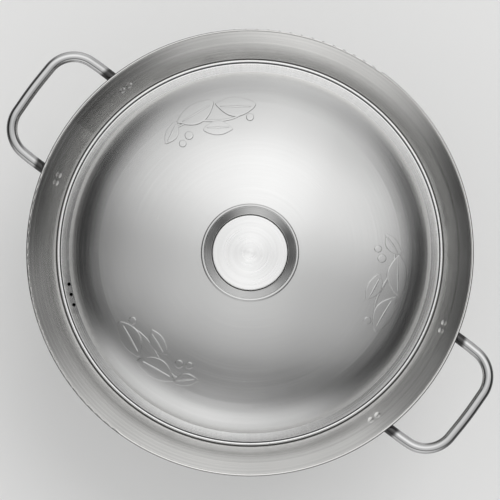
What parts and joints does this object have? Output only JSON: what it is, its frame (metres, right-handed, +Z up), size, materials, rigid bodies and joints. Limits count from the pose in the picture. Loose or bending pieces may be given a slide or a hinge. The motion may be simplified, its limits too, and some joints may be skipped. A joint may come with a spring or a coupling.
{
  "type": "water bath canner",
  "caption": "Wide stainless stockpot with a flared rim and loop handles, a recessed domed lid with a dished steel knob, and a lift-out wire jar rack.",
  "frame": {"origin": "centre of the underside of the base, where the canner stands", "axes": "+Z up along the pot's axis; +X through one loop handle, -X through the other"},
  "size_m": [0.4662, 0.3759, 0.3144],
  "materials": {
    "pot_steel": "circumferentially brushed",
    "core_aluminium": "matt, sealed in",
    "polished_rod": "polished",
    "lid_steel": "satin polished",
    "knob_steel": "satin polished",
    "disc_steel": "spun, concentric lines",
    "fastener_steel": "plain",
    "seal_rubber": "matt",
    "rack_wire": "bright plated wire"
  },
  "bodies": {
    "pot": {"pot_shell": "pot_steel", "base_core_disc": "core_aluminium", "base_cap": "pot_steel", "left_handle": "polished_rod", "right_handle": "polished_rod", "left_weld_plates": "pot_steel", "right_weld_plates": "pot_steel"},
    "rack": {"rack_dividers": "rack_wire", "rack_floor_rings": "rack_wire", "rack_hub_ring": "rack_wire", "rack_upper_ring": "rack_wire", "rack_bail_lugs": "rack_wire"},
    "left_bail": {"rack_left_bail": "rack_wire"},
    "right_bail": {"rack_right_bail": "rack_wire"},
    "lid": {"lid_shell": "lid_steel", "knob_cup": "knob_steel", "knob_cover_disc": "disc_steel", "knob_screw": "fastener_steel", "knob_seal_washer": "seal_rubber", "knob_lock_washer": "fastener_steel", "knob_nut": "fastener_steel"}
  },
  "joints": [
    {"name": "rack_lift", "type": "slide", "parent": "pot", "child": "rack", "axis": [0, 0, 1], "range_m": [0, 0.27]},
    {"name": "lid_lift", "type": "slide", "parent": "rack", "child": "lid", "axis": [0, 0, 1], "range_m": [0, 0.25]},
    {"name": "right_bail_hinge", "type": "hinge", "parent": "rack", "child": "right_bail", "pos_m": [0.13696, 0, 0.1172], "axis": [0, 1, 0], "range_deg": [0, 92]},
    {"name": "left_bail_hinge", "type": "hinge", "parent": "rack", "child": "left_bail", "pos_m": [-0.13696, 0, 0.1172], "axis": [0, -1, 0], "range_deg": [0, 92]}
  ]
}
